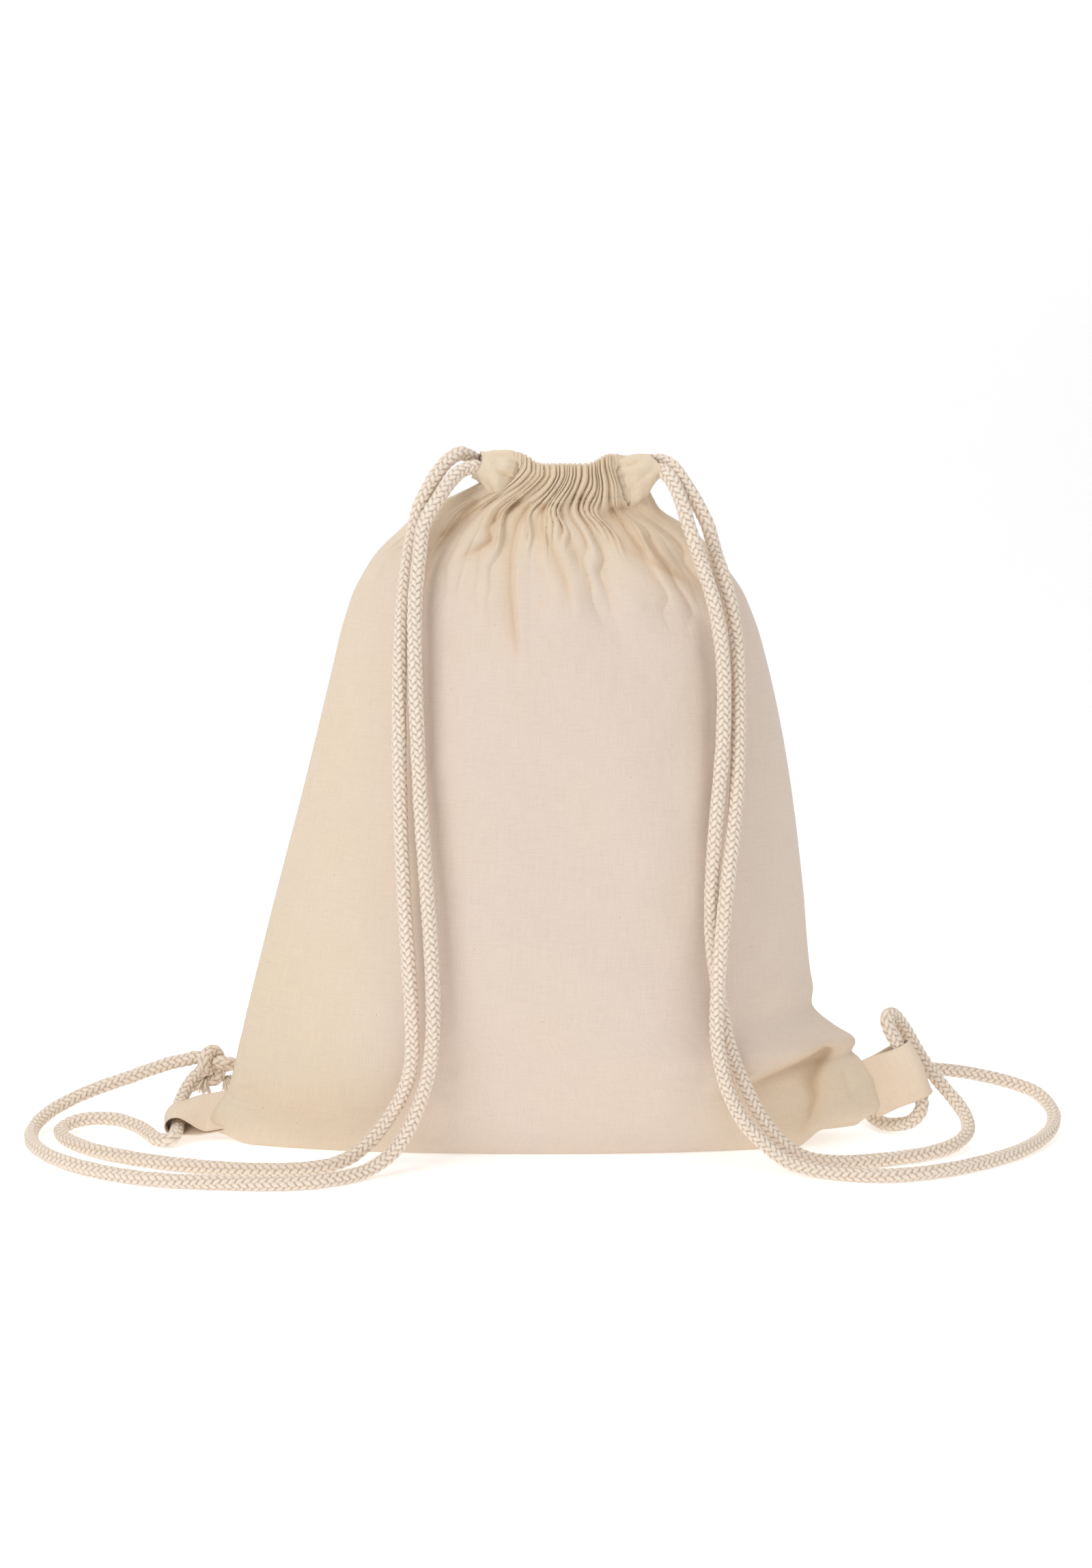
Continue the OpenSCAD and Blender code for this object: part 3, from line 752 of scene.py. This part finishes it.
def woven(name, base, warm, fold, thread_mm=0.5, flecks=0.62):
    """Plain-woven unbleached cotton: uneven yarns both ways, seed flecks, and painted shade in the folds,
    warmer and darker.

    The left side, the neck and the right bottom corner are warmer too.
    """
    m = Nodes(name)
    uv = m.add("ShaderNodeUVMap", uv_map="cloth").outputs[0]
    place = m.add("ShaderNodeSeparateXYZ", {0: uv})
    wobble = m.noise(uv, 0.35, 3.0)
    turns = 2 * math.pi / thread_mm
    warp = m.maths("SINE", m.maths("MULTIPLY_ADD", place.outputs[0], turns, m.maths("MULTIPLY", wobble, 5.0)))
    weft = m.maths("SINE", m.maths("MULTIPLY_ADD", place.outputs[1], turns, m.maths("MULTIPLY", wobble, 5.0)))
    weave = m.maths("MULTIPLY", warp, weft)
    slub_across = m.noise(m.stretch(uv, (0.06, 1.4, 1.0)), 1.0, 4.0, 0.62)
    slub_up = m.noise(m.stretch(uv, (1.4, 0.06, 1.0)), 1.0, 4.0, 0.62)
    slubs = m.maths("ADD", slub_across, slub_up)
    patches = m.spread(m.noise(uv, 0.012, 3.0), 0.35, 0.7, 0.0, 0.3)
    where = m.add("ShaderNodeSeparateXYZ", {0: m.add("ShaderNodeTexCoord").outputs["Object"]})
    by_side = m.spread(where.outputs[0], -0.11, -0.06, 0.6, 0.0)
    by_neck = m.spread(where.outputs[2], 0.29, 0.36, 0.0, 0.8)
    by_corner = m.maths("MULTIPLY", m.spread(where.outputs[0], 0.08, 0.13),
                        m.spread(where.outputs[2], 0.07, 0.04, 0.0, 0.6))
    grain = m.noise(uv, 1.6, 4.0, 0.7)
    valley = m.add("ShaderNodeAttribute", attribute_name="valley").outputs["Fac"]

    warmer = m.maths("MAXIMUM", m.maths("MAXIMUM", by_side, by_neck), by_corner)
    colour = m.mix(m.maths("ADD", patches, warmer), base, warm)
    # Painted shade: the valley attribute mixes in the fold colour, and the deepest valleys take a darker
    # brown.
    colour = m.mix(m.maths("MULTIPLY", valley, 0.7), colour, fold)
    deep_shade = m.spread(valley, 0.45, 1.0, 0.0, 0.5)
    colour = m.mix(deep_shade, colour, (fold[0] * 0.42, fold[1] * 0.36, fold[2] * 0.30, 1))
    light = m.mix(m.spread(slubs, 0.75, 1.25, 0.0, 1.0), (0.90, 0.89, 0.87, 1), (1.05, 1.05, 1.05, 1))
    colour = m.mix(0.5, colour, light, "MULTIPLY")
    speckle = m.mix(m.spread(grain, 0.35, 0.65, 0.0, 1.0), (0.90, 0.89, 0.88, 1), (1.04, 1.04, 1.04, 1))
    colour = m.mix(0.7, colour, speckle, "MULTIPLY")
    seeds = m.add("ShaderNodeTexVoronoi", {"Vector": uv, "Scale": 0.125, "Randomness": 1.0})
    small = m.spread(seeds.outputs["Distance"], 0.030, 0.042, 1.0, 0.0)
    lot = m.add("ShaderNodeSeparateColor", {0: seeds.outputs["Color"]}).outputs[0]
    chosen = m.maths("GREATER_THAN", lot, flecks)
    colour = m.mix(m.maths("MULTIPLY", m.maths("MULTIPLY", small, chosen), 0.62), colour, srgb(122, 88, 62))

    height = m.maths("MULTIPLY_ADD", slubs, 0.35, m.maths("MULTIPLY", grain, 0.3))
    height = m.maths("MULTIPLY_ADD", weave, 0.10, height)
    bump = m.add("ShaderNodeBump", {"Height": height, "Strength": 0.55, "Distance": 0.00022})
    crumple = m.noise(uv, 0.09, 4.0, 0.55)
    bump_2 = m.add("ShaderNodeBump", {"Height": crumple, "Strength": 0.5, "Distance": 0.0014,
                                      "Normal": bump.outputs[0]})
    m.put(m.shader.inputs["Base Color"], colour)
    m.put(m.shader.inputs["Normal"], bump_2.outputs[0])
    m.shader.inputs["Roughness"].default_value = 0.92
    m.shader.inputs["Specular IOR Level"].default_value = 0.15
    m.shader.inputs["Sheen Weight"].default_value = 0.12
    m.shader.inputs["Sheen Roughness"].default_value = 0.6
    return m.material


def yarn(name, base, deep_shade, line_mm=0.55):
    """Soft cotton yarn: fine fibres along each lobe, with painted shade where the lobes meet."""
    m = Nodes(name)
    uv = m.add("ShaderNodeUVMap", uv_map="cloth").outputs[0]
    place = m.add("ShaderNodeSeparateXYZ", {0: uv})
    fibre = m.noise(m.stretch(uv, (0.35, 3.2, 1.0)), 1.0, 4.0, 0.6)
    ply = m.maths("SINE", m.maths("MULTIPLY", place.outputs[1], 2 * math.pi / line_mm))
    groove = m.add("ShaderNodeAttribute", attribute_name="groove").outputs["Fac"]
    tangle = m.noise(m.add("ShaderNodeTexCoord").outputs["Object"], 900.0, 3.0, 0.6)
    # Painted shade: the groove attribute darkens the colour between the braid's lobes.
    colour = m.mix(m.spread(groove, 0.15, 0.95, 0.0, 0.9), base, deep_shade)
    tone = m.mix(m.spread(fibre, 0.3, 0.7, 0.0, 1.0), (0.90, 0.89, 0.87, 1), (1.05, 1.05, 1.04, 1))
    colour = m.mix(0.8, colour, tone, "MULTIPLY")
    height = m.maths("MULTIPLY_ADD", fibre, 0.6, m.maths("MULTIPLY", tangle, 0.5))
    height = m.maths("MULTIPLY_ADD", ply, 0.25, height)
    bump = m.add("ShaderNodeBump", {"Height": height, "Strength": 0.6, "Distance": 0.0003})
    m.put(m.shader.inputs["Base Color"], colour)
    m.put(m.shader.inputs["Normal"], bump.outputs[0])
    m.shader.inputs["Roughness"].default_value = 0.95
    m.shader.inputs["Specular IOR Level"].default_value = 0.1
    m.shader.inputs["Sheen Weight"].default_value = 0.25
    m.shader.inputs["Sheen Roughness"].default_value = 0.55
    return m.material


# The third colour of each cloth is the painted shade in folds and pleat valleys.
CANVAS = woven("natural_cotton_canvas", srgb(227, 211, 198), srgb(230, 212, 186), srgb(222, 190, 150))
TAPE_CLOTH = woven("cotton_tape", srgb(238, 222, 203), srgb(236, 214, 190), srgb(208, 176, 142), 0.42, 0.5)
# The second colour of each yarn is the painted shade in the grooves between lobes.
CORD_YARN = yarn("braided_cotton_yarn", srgb(248, 234, 218), srgb(214, 190, 166))
THREAD = yarn("sewing_thread", srgb(236, 226, 208), srgb(200, 184, 162), 0.2)


def finish(obj, material, slot, *nodes):
    obj.data.materials.append(material)
    if nodes:
        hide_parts(*nodes)
    return obj


# ---------------------------------------------------------------- the bag

front, front_grid, front_top = bag_shell("front_panel_cloth", -1, FRONT_FOLDS, 11)
finish(front, CANVAS, "canvas", "front_panel", "front_hem")
follow_lip(front)
back, back_grid, back_top = bag_shell("back_panel_cloth", 1, BACK_FOLDS, 41)
finish(back, CANVAS, "canvas", "back_panel", "back_hem")
follow_lip(back)

for side, word in ((-1, "left"), (1, "right")):
    node = word + "_hem_sleeve"
    sleeve = finish(hem_sleeve(node, side), CANVAS, "canvas", node)
    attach(sleeve, "bag")


def stitches(line, normals, pitch=2.7, length=1.9, lift=0.25):
    """Short raised stitches along a line on the cloth."""
    even, at = evenly(line, 0.2)
    share = np.linspace(0, at[-1], len(normals))
    facing = np.stack([np.interp(at, share, normals[:, k]) for k in range(3)], 1)
    per, keep = int(pitch / 0.2), int(length / 0.2)
    pieces = []
    for i in range(0, len(even) - keep, per):
        part = even[i:i + keep:2].copy()
        arch = np.sin(np.linspace(0, math.pi, len(part)))[:, None]
        pieces.append(part + facing[i:i + keep:2] * (lift * arch - 0.05))
    return pieces


def hem_stitching(name, grid, top):
    """The row that closes the cord channel, on the gathers just under the hem's lower edge."""
    normal = grid_normals(grid)
    middle = grid.shape[1] // 2
    row = int(np.argmin(np.abs(grid[:top, middle, 2] - (HEM_LOW[2] + 1.5))))
    line, n = grid[row], normal[row]
    inside = np.abs(line[:, 0] - NECK_X) < HEM_HALF + 2
    obj = thread_of(name, stitches(line[inside], n[inside]), 0.33)
    finish(obj, THREAD, "thread", name.replace("_stitches", "_thread"))
    follow_lip(obj)


hem_stitching("front_hem_stitches", front_grid, front_top)
hem_stitching("back_hem_stitches", back_grid, back_top)


# ---------------------------------------------------------------- inside seams

def allowance(name, line, width_way, width, seed):
    """A strip of doubled cloth inside a seam, slightly wavy at its free edge."""
    line, at = evenly(np.asarray(line, float), 1.5)
    across = np.linspace(0, width, 8)
    wave = ripples(at[:, None], across[None, :] * 3, 26, 0.5, seed) * (across / width)[None, :]
    grid = line[:, None] + across[None, :, None] * np.array(width_way)[None, None, :]
    grid[:, :, 1] += wave - 0.5
    grid[:, :, 2] += corner_lift(grid[:, :, 0], grid[:, :, 2])
    uv = np.stack(np.meshgrid(at, across, indexing="ij"), 2)
    obj = sheet(name + "_cloth", grid, 1.1, uv, {"valley": np.zeros(grid.shape[:2])})
    finish(obj, CANVAS, "canvas", name)
    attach(obj, "bag")
    seam = line[2:-2] + np.array(width_way) * width / 2
    seam[:, 2] += corner_lift(seam[:, 0], seam[:, 2])
    node = name.replace("_allowance", "_thread")
    pieces = stitches(seam, np.repeat([[0.0, -1.0, 0.0]], len(seam), 0), lift=0.9)
    thread = thread_of(node + "_stitches", pieces, 0.3)
    finish(thread, THREAD, "thread", node)
    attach(thread, "bag")


for side, word in ((-1, "left"), (1, "right")):
    low, high = box_mm(word + "_seam_allowance")
    zs = np.linspace(low[2], high[2], 40)
    edge = edges(zs)[0 if side < 0 else 1]
    line = np.stack([edge - side * 4, np.zeros(40), zs], 1)
    allowance(word + "_seam_allowance", line, (-side, 0, 0), 9, 3 + side)
low, high = box_mm("bottom_seam_allowance")
line = np.stack([np.linspace(low[0], high[0], 60), np.zeros(60), np.full(60, low[2])], 1)
allowance("bottom_seam_allowance", line, (0, 0, 1), high[2] - low[2], 9)


# ---------------------------------------------------------------- cords, knots and tabs

for n, word in enumerate(("left_cord_front_run", "left_cord_back_run",
                          "right_cord_front_run", "right_cord_back_run")):
    low, high = box_mm(word)
    middle = (low + high) / 2
    path = np.stack([np.linspace(low[0], high[0], 30), np.full(30, middle[1]), np.full(30, middle[2])], 1)
    run = braided(word + "_braid", path, CORD_R - 0.5, seed=20 + n)
    finish(run, CORD_YARN, "cord", word)
    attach(run, word.replace("_cord", ""))

for n, word in enumerate(("left_outer", "left_inner", "right_outer", "right_inner")):
    body = word.split("_")[0] + "_strap"
    low, high = box_mm(word.split("_")[0] + "_knot")
    path = spline(np.vstack([centreline(word + "_strap", lambda p: p[2]), (low + high) / 2]), 6)
    strand = braided(word + "_strap_braid", path, seed=n + 1)
    finish(strand, CORD_YARN, "cord", word + "_strap")
    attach(strand, body)

KNOT_SIZE = 3.0
for side, word, tilt, ways in ((-1, "left", (1.1, 0.5), ((-0.25, -0.2, -1.0), (0.35, 0.15, -1.0))),
                               (1, "right", (1.0, -0.4), ((-0.3, 0.9, 0.35), (0.35, 0.9, 0.1)))):
    body = word + "_strap"
    low, high = box_mm(word + "_knot")
    centre = (low + high) / 2
    knot = braided(word + "_knot_braid", knot_path(centre, KNOT_SIZE, tilt), 3.8, seed=6 + side)
    finish(knot, CORD_YARN, "cord", word + "_knot")
    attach(knot, body)
    lines = []
    for k, way in enumerate(ways):
        way = unit(np.array(way, float))
        root = centre + way * 7.5 + np.array([4.0 * (2 * k - 1), 0, 0])
        lines += frayed_end(root, way, 0.45, 60 + side + 5 * k)
    ends = finish(thread_of(word + "_frayed_ends", lines, 0.42), CORD_YARN, "cord", word + "_cord_ends")
    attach(ends, body)

# Directions of each tab: away from the seam, along its cord, and along the seam
TABS = {"left": ((-0.97, -0.05, -0.16), (0.05, 0.99, -0.02), (0.3, 0.85, 0.42)),
        "right": ((0.9, 0, 0.435), (-0.435, 0, 0.9), (-0.45, 0.1, 0.9))}
for word, (out, along, seam) in TABS.items():
    seat = np.array(joint(word + "_strap_swing")["pos_m"]) / MM
    piece, grid = tab(word + "_tab_tape", seat, out, along, seam, 32.0, 24.5)
    finish(piece, TAPE_CLOTH, "tape", word + "_tab")
    way = unit(np.array(out, float))
    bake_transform(piece)
    row = int(np.argmin(np.abs((grid[:30, 5] - seat) @ way - 1.6)))
    sewing = thread_of(word + "_tab_stitches", stitches(grid[row, 1:-1], grid_normals(grid)[row, 1:-1]), 0.3)
    finish(sewing, THREAD, "thread", word + "_tab_thread")
    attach(sewing, word + "_strap")


# ---------------------------------------------------------------- stage, light and camera

def stage():
    """A pale floor that curves up into a pale backdrop."""
    curve = [(1.6 + 1.0 * math.sin(a), 1.0 - 1.0 * math.cos(a)) for a in np.linspace(0, math.pi / 2, 16)]
    steps = [(-3.0, 0.0)] + curve + [(2.6, 4.0)]
    rows = np.array([[(x, y, z) for x in (-4.0, 4.0)] for y, z in steps]) / MM
    obj = make_mesh("floor_and_backdrop", rows.reshape(-1, 3), [grid_faces(len(steps), 2)])
    m = Nodes("pale_paper")
    m.shader.inputs["Base Color"].default_value = (0.93, 0.93, 0.93, 1)
    m.shader.inputs["Roughness"].default_value = 0.9
    m.shader.inputs["Specular IOR Level"].default_value = 0.0
    m.shader.inputs["Emission Color"].default_value = (1, 1, 1, 1)
    m.shader.inputs["Emission Strength"].default_value = 0.36
    obj.data.materials.append(m.material)


def area_light(name, place, aim, size, power):
    data = bpy.data.lights.new(name, "AREA")
    data.shape = "RECTANGLE"
    data.size, data.size_y = size
    data.energy = power
    obj = bpy.data.objects.new(name, data)
    obj.location = place
    obj.rotation_euler = (Vector(aim) - Vector(place)).to_track_quat("-Z", "Y").to_euler()
    bpy.context.scene.collection.objects.link(obj)


def camera():
    """Strap side, a little above the neck, looking slightly down."""
    data = bpy.data.cameras.new("camera")
    data.sensor_fit = "VERTICAL"
    data.sensor_height = 36
    data.lens = 55.8
    obj = bpy.data.objects.new("camera", data)
    obj.location = (0.00356, -1.3, 0.4)
    obj.rotation_euler = (math.radians(90 - 8.8), 0, 0)
    bpy.context.scene.collection.objects.link(obj)
    bpy.context.scene.camera = obj


stage()
area_light("key_left", (-1.3, -1.5, 1.5), (0, 0, 0.18), (1.2, 1.2), 23)
area_light("key_right", (1.4, -1.3, 1.2), (0, 0, 0.18), (1.2, 1.2), 7)
area_light("top", (0.0, 0.2, 1.9), (0, 0, 0.1), (1.8, 1.4), 12)
world = bpy.data.worlds.new("studio")
world.use_nodes = True
world.node_tree.nodes["Background"].inputs[0].default_value = (1.0, 1.0, 1.0, 1)
world.node_tree.nodes["Background"].inputs[1].default_value = 0.32
bpy.context.scene.world = world
bpy.context.scene.view_settings.view_transform = "Standard"
camera()
